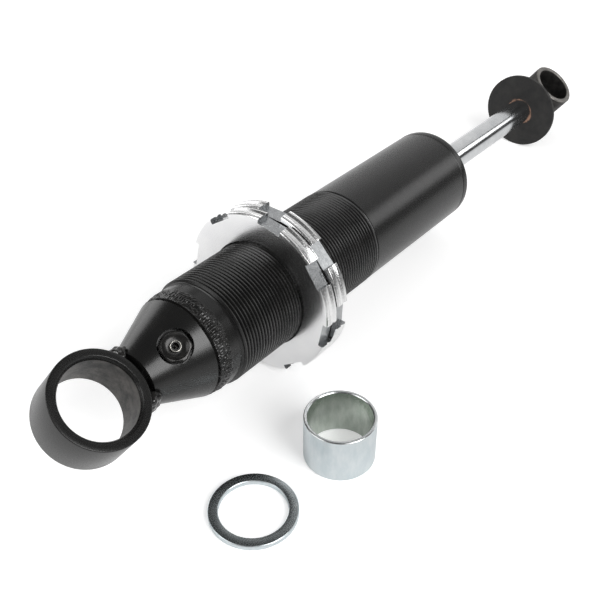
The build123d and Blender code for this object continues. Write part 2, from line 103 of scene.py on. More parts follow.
def radiusOf(point):
    return math.hypot(point.y, point.z)


def setRadius(vert, radius):
    share = radius / radiusOf(vert.co)
    vert.co *= Vector((1, share, share))


def measure(node, space):
    points = pointsOf(node, space)
    stations = [point.x for point in points]
    radii = [radiusOf(point) for point in points]
    return min(stations), max(stations), min(radii), max(radii)


# Colours are sRGB hex values, which Blender wants linear
def colour(code):
    channels = [int(code[place:place + 2], 16) / 255 for place in (0, 2, 4)]
    linear = [c / 12.92 if c <= 0.04045 else ((c + 0.055) / 1.055) ** 2.4 for c in channels]
    return (*linear, 1)


# Adds a node with its settings and links. A setting is one of the node's own values or an input's
def addNode(material, kind, settings=None, links=None):
    tree = material.node_tree
    node = tree.nodes.new(kind)
    for name, value in (settings or {}).items():
        if isinstance(name, str) and hasattr(node, name):
            setattr(node, name, value)
        else:
            node.inputs[name].default_value = value
    for name, source in (links or {}).items():
        tree.links.new(source, node.inputs[name])
    return node


def newMaterial(name):
    material = bpy.data.materials.new(name)
    material.use_nodes = True
    material.node_tree.nodes.clear()
    return material


print("frame loaded:", len(frame["nodes"]), "nodes")


# Blotches of two colours, uneven gloss and a fine grain: what every finish here has in some measure
def mottle(material, finish, coordinates=None):
    place = coordinates or addNode(material, "ShaderNodeTexCoord").outputs["Object"]
    blotches = addNode(material, "ShaderNodeTexNoise",
                       {"Scale": 1 / finish["blotch"], "Detail": 4.0, "Roughness": 0.6}, {"Vector": place})
    spread = addNode(material, "ShaderNodeMapRange",
                     {"From Min": 0.35, "From Max": 0.65}, {"Value": blotches.outputs["Fac"]})
    tint = addNode(material, "ShaderNodeMixRGB",
                   {"Color1": colour(finish["colours"][0]), "Color2": colour(finish["colours"][1])},
                   {"Fac": spread.outputs["Result"]})
    grain = addNode(material, "ShaderNodeTexNoise",
                    {"Scale": 1 / finish["grain"], "Detail": 3.0, "Roughness": 0.55}, {"Vector": place})
    gloss = addNode(material, "ShaderNodeMapRange",
                    {"From Min": 0.3, "From Max": 0.7, "To Min": finish["roughness"][0],
                     "To Max": finish["roughness"][1]}, {"Value": grain.outputs["Fac"]})
    bump = addNode(material, "ShaderNodeBump",
                   {"Strength": finish["bump"], "Distance": finish.get("depth", 0.05 * mm)},
                   {"Height": grain.outputs["Fac"]})
    return {"tint": tint.outputs["Color"], "gloss": gloss.outputs["Result"], "bump": bump.outputs["Normal"]}


# Closes a material with its shader. Links given beside the mottle's own take their place
def finishMaterial(material, made, settings, links=None):
    shader = addNode(material, "ShaderNodeBsdfPrincipled", settings,
                     {"Base Color": made["tint"], "Roughness": made["gloss"], "Normal": made["bump"],
                      **(links or {})})
    addNode(material, "ShaderNodeOutputMaterial", {}, {"Surface": shader.outputs["BSDF"]})
    return material


def mottled(name, finish):
    material = newMaterial(name)
    return finishMaterial(material, mottle(material, finish), {"Metallic": finish["metallic"]})


# Radius and station in a piece's space, for patterns that run round it
def turnedPlace(material, space):
    inverse = space.inverted()
    place = addNode(material, "ShaderNodeTexCoord").outputs["Object"]
    local = addNode(material, "ShaderNodeMapping",
                    {"Rotation": inverse.to_euler("XYZ"), "Location": inverse.translation}, {"Vector": place})
    flat = addNode(material, "ShaderNodeVectorMath",
                   {"operation": "MULTIPLY", 1: (0, 1, 1)}, {0: local.outputs["Vector"]})
    radius = addNode(material, "ShaderNodeVectorMath", {"operation": "LENGTH"}, {0: flat.outputs["Vector"]})
    split = addNode(material, "ShaderNodeSeparateXYZ", {}, {"Vector": local.outputs["Vector"]})
    return {"place": place, "radius": radius.outputs["Value"], "station": split.outputs["X"],
            "local": local.outputs["Vector"]}


# Metal turned on a lathe: fine rings of uneven depth, which spread a reflection square to themselves
def turnedMetal(name, space, finish):
    material = newMaterial(name)
    where = turnedPlace(material, space)
    stretched = addNode(material, "ShaderNodeMapping", {"Scale": (finish.get("stretch", 1.0), 1, 1)},
                        {"Vector": where["local"]})
    made = mottle(material, finish, stretched.outputs["Vector"])
    along = addNode(material, "ShaderNodeMath", {"operation": "ADD"},
                    {0: where["radius"], 1: where["station"]})
    rings = addNode(material, "ShaderNodeTexNoise",
                    {"noise_dimensions": "1D", "Scale": 1 / finish["rings"], "Detail": 2.0},
                    {"W": along.outputs["Value"]})
    bump = addNode(material, "ShaderNodeBump", {"Strength": finish["ringBump"], "Distance": 0.02 * mm},
                   {"Height": rings.outputs["Fac"], "Normal": made["bump"]})
    marks = addNode(material, "ShaderNodeTangent", {"direction_type": "RADIAL", "axis": "X"})
    return finishMaterial(material, made,
                          {"Metallic": finish["metallic"], "Anisotropic": finish.get("spread", 0.0),
                           "Anisotropic Rotation": 0.25},
                          {"Normal": bump.outputs["Normal"], "Tangent": marks.outputs["Tangent"]})


# Every plain finish, by name; a few of them are painted shade. Grain and blotch are real sizes
finishes = {
    # Cathodic dip coat on turned steel: near black, satin, with a very fine grit
    "satinBlackCoat": {"colours": ("121212", "171716"), "blotch": 12 * mm, "grain": 0.45 * mm,
                       "roughness": (0.24, 0.3), "bump": 0.12, "metallic": 0.0},
    # The same coat over a weld lies thick and shines
    "glossBlackWeld": {"colours": ("161616", "262524"), "blotch": 3 * mm, "grain": 0.5 * mm,
                       "roughness": (0.12, 0.2), "bump": 0.1, "metallic": 0.0},
    # and over the rough band between cone and tube it stays duller
    "coatedWeld": {"colours": ("121212", "191817"), "blotch": 3 * mm, "grain": 0.6 * mm,
                   "roughness": (0.2, 0.34), "bump": 0.5, "metallic": 0.0, "depth": 0.1 * mm},
    # Bare bored steel with thin oxide and handling marks
    "oxidisedBore": {"colours": ("252525", "575451"), "blotch": 6 * mm, "grain": 0.6 * mm,
                     "roughness": (0.36, 0.55), "bump": 0.15, "metallic": 0.6},
    # Raw tube steel with mill scale
    "millScaleSteel": {"colours": ("2b2a29", "454341"), "blotch": 5 * mm, "grain": 0.5 * mm,
                       "roughness": (0.42, 0.6), "bump": 0.25, "metallic": 0.7},
    # Faced ends of that tube, paler and finer
    "facedSteel": {"colours": ("6f6d6a", "8d8a86"), "blotch": 3 * mm, "grain": 0.3 * mm,
                   "roughness": (0.35, 0.5), "bump": 0.1, "metallic": 0.8},
    # A weld with its silvery oxide left on
    "bareWeld": {"colours": ("4a4845", "a09b94"), "blotch": 2.2 * mm, "grain": 0.5 * mm,
                 "roughness": (0.35, 0.55), "bump": 0.2, "metallic": 0.8},
    # Black oxide on the valve's turned steel
    "blackOxideSteel": {"colours": ("262626", "363534"), "blotch": 3 * mm, "grain": 0.3 * mm,
                        "roughness": (0.2, 0.3), "bump": 0.08, "metallic": 0.6},
    # Valve core and pin: brass painted nearly black, as painted shade down in its bore
    "brassPaintedAsBoreShade": {"colours": ("141312", "24221f"), "blotch": 1 * mm, "grain": 0.2 * mm,
                    "roughness": (0.12, 0.2), "bump": 0.05, "metallic": 0.2},
    "nickelPlatedBrass": {"colours": ("8f8d88", "b5b3ac"), "blotch": 1.5 * mm, "grain": 0.2 * mm,
                          "roughness": (0.2, 0.32), "bump": 0.05, "metallic": 1.0},
    "nitrileRubber": {"colours": ("101010", "181818"), "blotch": 4 * mm, "grain": 0.3 * mm,
                      "roughness": (0.55, 0.7), "bump": 0.15, "metallic": 0.0},
    "springSteel": {"colours": ("6a6c70", "7d7f83"), "blotch": 5 * mm, "grain": 0.25 * mm,
                    "roughness": (0.25, 0.35), "bump": 0.05, "metallic": 1.0},
    "machinedAluminium": {"colours": ("c4c5c8", "d2d3d5"), "blotch": 6 * mm, "grain": 0.25 * mm,
                          "roughness": (0.25, 0.35), "bump": 0.05, "metallic": 1.0},
    # Notches milled out of the nuts, with no lathe marks; greyer than the turned faces, partly from the milled
    # finish and partly painted shade in the notches
    "shadedMilledAluminium": {"colours": ("a2a4a6", "b8babb"), "blotch": 2.5 * mm, "grain": 0.4 * mm,
                        "roughness": (0.2, 0.3), "bump": 0.1, "metallic": 1.0},
    # Painted shade in the joint between the nuts: a near-black line from any side, standing in for the shade of
    # the gap
    "paintedJointShade": {"colours": ("080808", "0e0d0c"), "blotch": 1 * mm, "grain": 0.2 * mm,
                    "roughness": (0.7, 0.85), "bump": 0.2, "metallic": 0.0},
    "sinteredBronze": {"colours": ("8d6d42", "a58455"), "blotch": 2 * mm, "grain": 0.3 * mm,
                       "roughness": (0.35, 0.45), "bump": 0.2, "metallic": 1.0},
    "sinteredSteel": {"colours": ("57575a", "6b6b6e"), "blotch": 3 * mm, "grain": 0.3 * mm,
                      "roughness": (0.4, 0.5), "bump": 0.2, "metallic": 1.0},
    "bearingPlastic": {"colours": ("d6d4cc", "e2e0d9"), "blotch": 5 * mm, "grain": 0.4 * mm,
                       "roughness": (0.45, 0.55), "bump": 0.08, "metallic": 0.0},
}
plain = {name: mottled(name, finish) for name, finish in finishes.items()}
print("plain finishes made:", len(plain))

# The record's slots and the finish of each CAD node that stays
slotFinishes = {
    "black_coated_steel": "satinBlackCoat",
    "dark_valve_steel": "blackOxideSteel",
    "valve_brass": "brassPaintedAsBoreShade",
    "black_rubber": "nitrileRubber",
    "spring_steel": "springSteel",
    "turned_aluminium": "machinedAluminium",
    "bearing_bronze": "sinteredBronze",
    "plain_steel": "sinteredSteel",
    "white_bearing_plastic": "bearingPlastic",
    "raw_dark_steel": "millScaleSteel",
}


def coverNode(node, finish):
    materials = frame["nodes"][node].data.materials
    materials.clear()
    materials.append(finish)


for subpart in frame["record"]["subparts"]:
    if subpart["material_slot"] in slotFinishes:
        coverNode(subpart["node"], plain[slotFinishes[subpart["material_slot"]]])


# A turned piece in its own space: a closed profile of station, radius and rounding, spun about X. Fine
# roundings get two facets, and the others six
def turnedMesh(profile, steps, fineRounding=0.3 * mm):
    mesh = bmesh.new()
    corners = [mesh.verts.new((station, 0, radius)) for station, radius, rounding in profile]
    mesh.faces.new(corners)
    for corner, (station, radius, rounding) in zip(corners, profile):
        if rounding:
            bmesh.ops.bevel(mesh, geom=[corner], offset=rounding, offset_type="OFFSET", affect="VERTICES",
                            segments=2 if rounding < fineRounding else 6, profile=0.5, material=-1)
    bmesh.ops.delete(mesh, geom=mesh.faces[:], context="FACES_ONLY")
    bmesh.ops.spin(mesh, geom=mesh.verts[:] + mesh.edges[:], axis=(1, 0, 0), cent=(0, 0, 0),
                   angle=math.tau, steps=steps, use_merge=True)
    bmesh.ops.recalc_face_normals(mesh, faces=mesh.faces[:])
    return mesh


def vertsIn(geometry):
    return [part for part in geometry if isinstance(part, bmesh.types.BMVert)]


# Extrudes an open loop through a run of stations, each with a radius that may depend on the angle
def growLoop(mesh, loop, outline):
    for station, radiusAt in outline:
        grown = bmesh.ops.extrude_edge_only(mesh, edges=loop)["geom"]
        made = set(vertsIn(grown))
        for vert in made:
            angle = math.atan2(vert.co.y, vert.co.z)
            radius = radiusAt(angle) if callable(radiusAt) else radiusAt
            vert.co = (station, radius * math.sin(angle), radius * math.cos(angle))
        loop = [part for part in grown if isinstance(part, bmesh.types.BMEdge) and set(part.verts) <= made]
    return loop


# Gives another of the piece's materials to the faces whose middle is chosen
def markFaces(mesh, index, chosen):
    for face in mesh.faces:
        if chosen(face.calc_center_median()):
            face.material_index = index


def smoothAll(mesh, rounds):
    for turn in range(rounds):
        bmesh.ops.smooth_vert(mesh, verts=mesh.verts[:], factor=0.5, use_axis_x=True, use_axis_y=True,
                              use_axis_z=True)


# Creases edges past an angle, so that flats stay flat and rounds smooth
def shade(mesh, sharpest=32):
    for face in mesh.faces:
        face.smooth = True
    for edge in mesh.edges:
        edge.smooth = edge.calc_face_angle(0) < math.radians(sharpest)


def newObject(name, mesh):
    data = bpy.data.meshes.new(name)
    mesh.to_mesh(data)
    mesh.free()
    made = bpy.data.objects.new(name, data)
    bpy.context.scene.collection.objects.link(made)
    return made


# Turns a finished bmesh into a piece in its place, with its materials, body and replaced nodes
def addPiece(name, mesh, space, materials, body, replaced, sharpest=32):
    bmesh.ops.transform(mesh, matrix=space, verts=mesh.verts[:])
    shade(mesh, sharpest)
    piece = newObject(name, mesh)
    for material in materials:
        piece.data.materials.append(material)
    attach(piece, body)
    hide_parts(*replaced)
    print("made", name, "with", len(piece.data.polygons), "faces")
    return piece


# Replaces a piece's mesh with the result of its modifiers
def settle(piece):
    graph = bpy.context.evaluated_depsgraph_get()
    settled = bpy.data.meshes.new_from_object(piece.evaluated_get(graph))
    piece.modifiers.clear()
    piece.data = settled


# Lower eye: a bevelled ring, coated outside and worn to bare steel inside
lowerEye = {"rimBevel": 0.3 * mm, "boreBevel": 1.5 * mm, "step": 0.35 * mm, "rounding": 0.1 * mm,
            "steps": 160, "bareTo": 0.2 * mm}


def eyeProfile(low, high, inner, outer, settings):
    rim, mouth, soft, step = (settings[part] for part in ("rimBevel", "boreBevel", "rounding", "step"))
    deep = (mouth + step) / 2
    return [
        (low, inner + mouth, soft), (low, outer - rim, soft), (low + rim, outer, soft),
        (high - rim, outer, soft), (high, outer - rim, soft), (high, inner + mouth, soft),
        (high - deep + step, inner + deep, 0), (high - deep + step, inner + deep - step, 0),
        (high - mouth, inner, soft), (low + mouth, inner, soft),
        (low + deep - step, inner + deep - step, 0), (low + deep - step, inner + deep, 0),
    ]


def makeLowerEye():
    low, high, inner, outer = measure("lower_eye", lowerEyeSpace)
    mesh = turnedMesh(eyeProfile(low, high, inner, outer, lowerEye), lowerEye["steps"])
    markFaces(mesh, 1, lambda middle: radiusOf(middle) < inner + lowerEye["bareTo"])
    addPiece("lowerEyeRing", mesh, lowerEyeSpace, [plain["satinBlackCoat"], plain["oxidisedBore"]],
             "damper_body", ["lower_eye"])


makeLowerEye()

# Weld beads: the CAD solid drawn in about its seam, remeshed fine, then raised in ripples and lumps
weldBeads = {"voxel": 0.35 * mm, "ripple": 3.4 * mm, "rippleHeight": 0.55 * mm, "lump": 2.8 * mm,
             "lumpHeight": 1 * mm, "rounds": 45, "swell": 0.35 * mm, "shrink": 0.7,
             "seam": (21 * mm, 12 * mm)}


def makeWeld(name, node, body, material, settings, along):
    mesh = bmesh.new()
    mesh.from_mesh(frame["nodes"][node].data)
    bmesh.ops.remove_doubles(mesh, verts=mesh.verts[:], dist=tiny)
    station, reach = settings["seam"]
    inwards = alongDamper.cross(alongEye)
    for vert in mesh.verts:
        place = vert.co - lowerEyeCentre
        side = math.copysign(reach, place.dot(inwards))
        vert.co += (settings["shrink"] - 1) * (alongDamper * (place.dot(alongDamper) - station)
                                               + inwards * (place.dot(inwards) - side))
    piece = addPiece(name, mesh, Matrix.Identity(4), [material], body, [node], 180)
    remesh = piece.modifiers.new("remesh", "REMESH")
    remesh.mode = "VOXEL"
    remesh.voxel_size = settings["voxel"]
    remesh.use_smooth_shade = True
    settle(piece)
    mesh = bmesh.new()
    mesh.from_mesh(piece.data)
    smoothAll(mesh, settings["rounds"])
    mesh.normal_update()
    moves = []
    for vert in mesh.verts:
        phase = along.dot(vert.co) / settings["ripple"] + 0.3 * noise.noise(vert.co / settings["lump"])
        ripple = abs(math.sin(math.pi * phase)) ** 0.6
        lump = noise.noise(vert.co / settings["lump"] + Vector((3, 5, 7)))
        moves.append(vert.normal * (settings["swell"] + settings["rippleHeight"] * (ripple - 0.5)
                                    + settings["lumpHeight"] * lump))
    for vert, move in zip(mesh.verts, moves):
        vert.co += move
    smoothAll(mesh, 1)
    mesh.to_mesh(piece.data)
    mesh.free()


makeWeld("lowerEyeBeads", "lower_eye_welds", "damper_body", plain["glossBlackWeld"],
         weldBeads, alongEye)

# Weld band between cone and tube: close ripples round the tube, a seam below it and a few burrs
weldBand = {
    "steps": 760, "rows": 26, "ripplePitch": 1.35 * mm, "rippleHeight": 0.62 * mm, "bow": 1.5 * mm,
    "roughHeight": 0.42 * mm, "roughSize": 1.2 * mm, "crown": 0.3 * mm, "seamDepth": 1.3 * mm,
    "wander": 0.35 * mm, "wanderSize": 3 * mm, "fadeSize": 12 * mm, "burrs": 14, "seed": 4,
    "burrSize": (0.2 * mm, 0.42 * mm), "gapWidth": 1.5 * mm, "gapEdge": 0.2 * mm, "lip": 0.3 * mm,
    "rippledTo": 0.92, "hiddenFoot": 1 * mm,
}


def makeWeldBand():
    start, end, inner, outer = measure("base_weld_ring", damperSpace)
    coneRim = measure("base_cone", damperSpace)[3]
    rows = weldBand["rows"]
    middle = (start + end) / 2
    gap, lip, seam, edge = (weldBand[part] for part in ("gapWidth", "lip", "seamDepth", "gapEdge"))
    profile = [(start + edge, coneRim - seam, 0), (start + gap - edge, coneRim - 0.9 * seam, 0)]
    for row in range(rows + 1):
        share = row / rows
        crown = weldBand["crown"] * (1 - (2 * share - 1) ** 2) + lip * (1 - share) ** 8
        station = start + gap + (end - start - gap) * share
        profile.append((station, coneRim + (outer - coneRim) * share + crown, 0))
    profile += [(middle, inner, 0), (middle - weldBand["hiddenFoot"], inner, 0)]
    mesh = turnedMesh(profile, weldBand["steps"])
    ripples = round(math.tau * outer / weldBand["ripplePitch"])
    for vert in mesh.verts:
        share = (vert.co.x - start) / (end - start)
        radius = radiusOf(vert.co)
        if radius < coneRim - seam - edge / 2:
            continue
        angle = math.atan2(vert.co.y, vert.co.z)
        spot = vert.co / weldBand["roughSize"]
        bend = weldBand["bow"] / outer * (2 * share - 1) ** 2
        jitter = 0.5 * noise.noise(vert.co / (6 * weldBand["roughSize"]))
        fade = 0.5 + noise.noise(Vector((0, vert.co.y, vert.co.z)) / weldBand["fadeSize"])
        wave = abs(math.cos((angle + bend) * ripples / 2 + 2 * jitter)) ** 0.7
        rippled = min(max(share / weldBand["rippledTo"], 0), 1)
        envelope = max(0.0, math.sin(math.pi * rippled)) ** 0.4
        rise = envelope * (weldBand["rippleHeight"] * (wave - 0.6) * fade
                           + weldBand["roughHeight"] * noise.noise(spot))
        sway = noise.noise(vert.co / weldBand["wanderSize"])
        setRadius(vert, radius + rise)
        vert.co.x += weldBand["wander"] * sway * (1 - share) * envelope
    dice = random.Random(weldBand["seed"])
    for burr in range(weldBand["burrs"]):
        size = dice.uniform(*weldBand["burrSize"])
        angle = dice.uniform(-math.pi, math.pi)
        station = dice.choice((start + gap, start + gap, end))
        spot = Vector((station, coneRim * math.sin(angle), coneRim * math.cos(angle)))
        bmesh.ops.create_icosphere(mesh, subdivisions=2, radius=size, matrix=Matrix.Translation(spot))
    addPiece("baseWeldBand", mesh, damperSpace, [plain["coatedWeld"]], "damper_body",
             ["base_weld_ring"], 60)


makeWeldBand()

# Body tube: one shell with a real right-hand helical thread, cut by the bevel at its near end and run
# out at its far end, where a narrow groove parts it from the plain tube
bodyTube = {
    "pitch": 2 * mm, "crest": 0.52 * mm, "root": 0.16 * mm, "depth": 1.15 * mm, "nearBevel": 1.2 * mm,
    "stepsPerTurn": 96, "runout": 2.2 * mm, "tubeStep": 0.2 * mm, "endBevel": 0.35 * mm,
    "collarDrop": 1.5 * mm, "endGroove": 0.32 * mm, "endGrooveWidth": 0.5 * mm, "endGrooveIn": 0.1 * mm,
    "endGrooveOut": 0.15 * mm, "shortLoop": 0.8 * mm,
}


def makeBodyTube():
    low, high, inner, crestRadius = measure("body_tube", damperSpace)
    points = pointsOf("body_tube", damperSpace)
    crests = [point.x for point in points if radiusOf(point) > crestRadius - 10 * tiny]
    nearCut = min(crests) - bodyTube["nearBevel"]
    farCut = max(crests)
    pitch, crest, root = bodyTube["pitch"], bodyTube["crest"], bodyTube["root"]
    rootRadius = crestRadius - bodyTube["depth"]
    collarRadius = crestRadius - bodyTube["collarDrop"]
    tubeRadius = crestRadius - bodyTube["tubeStep"]
    flank = (pitch - crest - root) / 2
    mesh = bmesh.new()
    first = nearCut - pitch
    profile = [(0, crestRadius), (crest, crestRadius), (crest + flank, rootRadius),
               (crest + flank + root, rootRadius), (pitch, crestRadius)]
    line = [mesh.verts.new((first + station, 0, radius)) for station, radius in profile]
    edges = [mesh.edges.new(pair) for pair in zip(line, line[1:])]
    steps = bodyTube["stepsPerTurn"]
    bmesh.ops.spin(mesh, geom=line + edges, axis=(1, 0, 0), cent=(0, 0, 0), angle=math.tau,
                   dvec=(pitch / steps, 0, 0), steps=steps)
    firstTurn = mesh.verts[:] + mesh.edges[:] + mesh.faces[:]
    for turn in range(1, math.ceil((farCut - first) / pitch) + 1):
        copied = bmesh.ops.duplicate(mesh, geom=firstTurn)["geom"]
        bmesh.ops.translate(mesh, verts=vertsIn(copied), vec=(turn * pitch, 0, 0))
    bmesh.ops.remove_doubles(mesh, verts=mesh.verts[:], dist=2 * tiny)
    for station, clearInner in ((nearCut, True), (farCut, False)):
        bmesh.ops.bisect_plane(mesh, geom=mesh.verts[:] + mesh.edges[:] + mesh.faces[:], dist=tiny,
                               plane_co=(station, 0, 0), plane_no=(1, 0, 0), clear_inner=clearInner,
                               clear_outer=not clearInner)
    for vert in mesh.verts:
        rise = (vert.co.x - nearCut) / bodyTube["nearBevel"]
        left = max(0.0, min(1.0, (farCut - vert.co.x) / bodyTube["runout"]))
        target = min(radiusOf(vert.co), collarRadius + bodyTube["collarDrop"] * rise)
        setRadius(vert, tubeRadius + (target - tubeRadius) * left if left < 1 else target)
    rims = [edge for edge in mesh.edges if edge.is_boundary]
    nearLoop = [edge for edge in rims if edge.verts[0].co.x < (nearCut + farCut) / 2]
    farLoop = [edge for edge in rims if edge.verts[0].co.x > (nearCut + farCut) / 2]
    weldEnd = measure("base_weld_ring", damperSpace)[1]
    shortLoop, endBevel = bodyTube["shortLoop"], bodyTube["endBevel"]
    nearLoop = growLoop(mesh, nearLoop, [
        (nearCut - shortLoop, collarRadius), (weldEnd, collarRadius), (low, inner)])
    grooveEnd = farCut + bodyTube["endGrooveWidth"]
    grooveRadius = tubeRadius - bodyTube["endGroove"]
    farLoop = growLoop(mesh, farLoop, [
        (farCut + bodyTube["endGrooveIn"], grooveRadius), (grooveEnd, grooveRadius),
        (grooveEnd + bodyTube["endGrooveOut"], tubeRadius), (grooveEnd + shortLoop, tubeRadius),
        (high - endBevel, tubeRadius), (high, tubeRadius - endBevel), (high, inner)])
    bmesh.ops.bridge_loops(mesh, edges=nearLoop + farLoop)
    bmesh.ops.dissolve_degenerate(mesh, dist=tiny / 2, edges=mesh.edges[:])
    bmesh.ops.recalc_face_normals(mesh, faces=mesh.faces[:])
    addPiece("threadedBody", mesh, damperSpace, [threadedCoat(crestRadius)], "damper_body",
             ["body_tube"], 24)


# The dip coat over the thread, greyed on the crests: partly rubbed wear, partly a painted highlight along the
# crest lines
crestRubAndHighlight = {"grey": "5a5958", "band": 0.12 * mm, "patch": 9 * mm, "amount": 0.25}


def threadedCoat(crestRadius):
    material = newMaterial("dipCoatOnThread")
    where = turnedPlace(material, damperSpace)
    made = mottle(material, finishes["satinBlackCoat"], where["place"])
    crest = addNode(material, "ShaderNodeMapRange",
                    {"From Min": crestRadius - crestRubAndHighlight["band"], "From Max": crestRadius,
                     "To Max": crestRubAndHighlight["amount"]}, {"Value": where["radius"]})
    patches = addNode(material, "ShaderNodeTexNoise", {"Scale": 1 / crestRubAndHighlight["patch"], "Detail": 3.0},
                      {"Vector": where["place"]})
    patchy = addNode(material, "ShaderNodeMapRange", {"From Min": 0.3, "From Max": 0.6},
                     {"Value": patches.outputs["Fac"]})
    # Where the crests are greyed: rub wear and painted highlight together
    rubAndHighlight = addNode(material, "ShaderNodeMath", {"operation": "MULTIPLY"},
                     {0: crest.outputs["Result"], 1: patchy.outputs["Result"]})
    tint = addNode(material, "ShaderNodeMixRGB", {"Color2": colour(crestRubAndHighlight["grey"])},
                   {"Fac": rubAndHighlight.outputs["Value"], "Color1": made["tint"]})
    return finishMaterial(material, made, {"Metallic": finishes["satinBlackCoat"]["metallic"]},
                          {"Base Color": tint.outputs["Color"]})


makeBodyTube()

# The notched nuts: bright turned aluminium, a shallow groove round the rim, a fine score on each side
# of it, eight milled notches greyed partly with painted shade, and a shallow relief where one nut meets the other,
# painted near black as shade
nuts = {
    "bevel": 0.7 * mm, "rounding": 0.08 * mm, "grooveStart": 4.0 * mm, "grooveWidth": 2.1 * mm,
    "grooveDepth": 0.7 * mm, "notches": 8, "notchWidth": 13.3 * mm, "notchDepth": 3.2 * mm,
    "edgeBreak": 0.16 * mm, "steps": 192, "springNutTurn": 9.4, "lockNutTurn": 18.4,
    "relief": 0.4 * mm, "reliefWidth": 3.8 * mm, "scoreWidth": 0.34 * mm, "scoreDepth": 0.2 * mm,
}
brightAluminium = turnedMetal("brightTurnedAluminium", damperSpace, {
    "colours": ("efeff0", "f5f5f5"), "blotch": 14 * mm, "grain": 0.3 * mm, "roughness": (0.21, 0.27),
    "bump": 0.02, "metallic": 1.0, "rings": 0.5 * mm, "ringBump": 0.05,
})
# Their rims carry the tool's chatter, short marks along the axis which whiten every reflection
chatteredAluminium = turnedMetal("chatteredAluminium", damperSpace, {
    "colours": ("f0f0f0", "fafafa"), "blotch": 1.6 * mm, "grain": 0.5 * mm, "roughness": (0.17, 0.3),
    "bump": 0.3, "metallic": 1.0, "rings": 0.35 * mm, "ringBump": 1.0, "stretch": 0.25,
})


def makeNut(name, node, firstNotch, mating):
    low, high, inner, outer = measure(node, damperSpace)
    bevel, soft = nuts["bevel"], nuts["rounding"]
    relief, reliefInner = nuts["relief"], outer - nuts["reliefWidth"]
    notchFloor = outer - nuts["notchDepth"]
    lowEdge, highEdge = (low + relief, high) if mating == "low" else (low, high - relief)
    groove = low + nuts["grooveStart"]
    grooveEnd = groove + nuts["grooveWidth"]
    rim = [(groove, outer, soft), (groove + nuts["grooveWidth"] / 4, outer - nuts["grooveDepth"], soft),
           (grooveEnd, outer, soft)]
    half = nuts["scoreWidth"] / 2
    for score in ((lowEdge + groove) / 2, (grooveEnd + highEdge) / 2):
        rim += [(score - half, outer, 0), (score, outer - nuts["scoreDepth"], 0), (score + half, outer, 0)]
    mesh = turnedMesh([
        (low, inner + bevel, soft), (low, reliefInner, 0), (lowEdge, reliefInner, 0),
        (lowEdge, notchFloor, 0), (lowEdge, outer - bevel, soft), (lowEdge + bevel, outer, soft),
        *sorted(rim),
        (highEdge - bevel, outer, soft), (highEdge, outer - bevel, soft), (highEdge, notchFloor, 0),
        (highEdge, reliefInner, 0), (high, reliefInner, 0), (high, inner + bevel, soft),
        (high - bevel, inner, soft), (low + bevel, inner, soft),
    ], nuts["steps"])
    bmesh.ops.dissolve_degenerate(mesh, dist=tiny, edges=mesh.edges[:])
    # The relief faces where the nuts meet get the painted joint shade
    mate, shadeOuter = (low, notchFloor) if mating == "low" else (high, outer)
    markFaces(mesh, 3, lambda middle: abs(middle.x - mate) < 1.1 * relief
              and reliefInner - 10 * tiny < radiusOf(middle) < shadeOuter)
    markFaces(mesh, 2, lambda middle: radiusOf(middle) > outer - bevel)
    # The second material is the notches' milled finish with painted shade, the fourth the painted joint shade
    materials = [brightAluminium, plain["shadedMilledAluminium"], chatteredAluminium, plain["paintedJointShade"]]
    piece = addPiece(name, mesh, damperSpace, materials, node, [node])
    cutter = bmesh.new()
    size = Matrix.Diagonal((2 * (high - low), nuts["notchWidth"], 2 * nuts["notchDepth"], 1))
    for notch in range(nuts["notches"]):
        turn = Matrix.Rotation(math.radians(firstNotch + notch * 360 / nuts["notches"]), 4, "X")
        move = Matrix.Translation(((low + high) / 2, 0, outer))
        bmesh.ops.create_cube(cutter, size=1, matrix=damperSpace @ turn @ move @ size)
    for face in cutter.faces:
        face.material_index = 1
    cutFrom(piece, cutter, nuts["edgeBreak"])


# Cuts a tool's shape out of a piece and breaks the new edges. A broken edge takes the first of the
# materials beside it
def cutFrom(piece, cutter, edgeBreak):
    tool = newObject("cutter", cutter)
    cut = piece.modifiers.new("cut", "BOOLEAN")
    cut.operation = "DIFFERENCE"
    cut.solver = "EXACT"
    cut.object = tool
    settle(piece)
    bpy.data.objects.remove(tool)
    mesh = bmesh.new()
    mesh.from_mesh(piece.data)
    bmesh.ops.remove_doubles(mesh, verts=mesh.verts[:], dist=2 * tiny)
    edges = [edge for edge in mesh.edges if edge.calc_face_angle(0) > math.radians(50)]
    broken = bmesh.ops.bevel(mesh, geom=edges, offset=edgeBreak, offset_type="OFFSET", affect="EDGES",
                             segments=1, profile=0.5, clamp_overlap=True, material=-1)["faces"]
    whole = set(mesh.faces) - set(broken)
    for face in broken:
        beside = {near for vert in face.verts for near in vert.link_faces} & whole
        face.material_index = min((near.material_index for near in beside), default=face.material_index)
    shade(mesh)
    mesh.to_mesh(piece.data)
    mesh.free()


makeNut("springNutRing", "spring_nut", nuts["springNutTurn"], "low")
makeNut("lockNutRing", "lock_nut", nuts["lockNutTurn"], "high")

# Gas valve: a six-sided head with a dished top and a bright nose round the pin
gasValve = {"segments": 96, "acrossFlats": 13.7 * mm, "cornerRadius": 7.45 * mm, "topBevel": 0.7 * mm,
            "topEdge": 0.4 * mm, "dishRadius": 6.1 * mm, "dishSteps": 8, "dishBend": 46,
            "dishFoot": 0.15 * mm, "noseRadius": 2.6 * mm, "noseEdge": 0.22 * mm, "noseRise": 0.6 * mm,
            "rimWidth": 0.16 * mm, "boreRadius": 1.8 * mm, "shank": 0.65}


